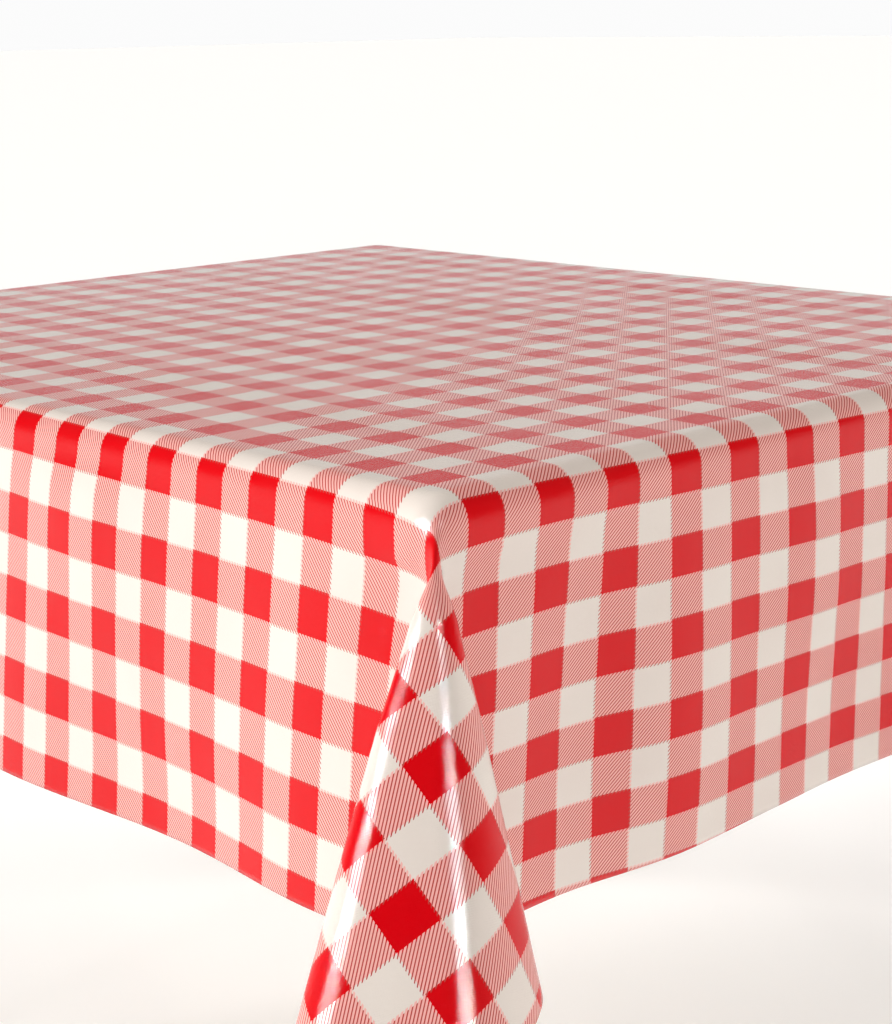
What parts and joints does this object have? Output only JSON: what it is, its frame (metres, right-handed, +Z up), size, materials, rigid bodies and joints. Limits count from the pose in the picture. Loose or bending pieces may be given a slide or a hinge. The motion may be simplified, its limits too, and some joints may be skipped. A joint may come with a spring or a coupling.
{
  "type": "tablecloth on a table",
  "caption": "Glossy checked wipe-clean tablecloth with open corner folds, draped over a small rectangular wooden table; the cloth lifts off.",
  "frame": {"origin": "on the floor, under the middle of the table", "axes": "+Z up; +Y along the table's long side; the corner fold at -X, -Y is the near one"},
  "size_m": [1.1216, 1.1912, 0.75],
  "materials": {
    "cloth": "red and off-white woven-look checks printed under clear glossy vinyl, pale fleece backing",
    "oak": "light oak, satin oil",
    "beech": "plain planed beech",
    "steel": "zinc-plated",
    "glide": "moulded nylon"
  },
  "bodies": {
    "table": {"top_board_1": "oak", "top_board_2": "oak", "top_board_3": "oak", "top_board_4": "oak", "top_board_5": "oak", "end_board_front": "oak", "end_board_back": "oak", "apron_left": "oak", "apron_right": "oak", "apron_front": "oak", "apron_back": "oak", "cross_rail": "oak", "leg_front_left": "oak", "leg_front_right": "oak", "leg_back_right": "oak", "leg_back_left": "oak", "glide_front_left": "glide", "glide_front_right": "glide", "glide_back_right": "glide", "glide_back_left": "glide", "corner_block_front_left": "beech", "corner_block_front_right": "beech", "corner_block_back_right": "beech", "corner_block_back_left": "beech", "hanger_bolt_front_left": "steel", "hanger_bolt_front_right": "steel", "hanger_bolt_back_right": "steel", "hanger_bolt_back_left": "steel", "washer_front_left": "steel", "washer_front_right": "steel", "washer_back_right": "steel", "washer_back_left": "steel", "nut_front_left": "steel", "nut_front_right": "steel", "nut_back_right": "steel", "nut_back_left": "steel", "button_left_1": "beech", "button_left_2": "beech", "button_right_1": "beech", "button_right_2": "beech", "button_front_1": "beech", "button_front_2": "beech", "button_back_1": "beech", "button_back_2": "beech", "button_screw_left_1": "steel", "button_screw_left_2": "steel", "button_screw_right_1": "steel", "button_screw_right_2": "steel", "button_screw_front_1": "steel", "button_screw_front_2": "steel", "button_screw_back_1": "steel", "button_screw_back_2": "steel"},
    "cloth": {"tablecloth": "cloth"}
  },
  "joints": [
    {"name": "cloth_lift", "type": "slide", "parent": "table", "child": "cloth", "axis": [0, 0, 1], "range_m": [0, 0.39]}
  ]
}
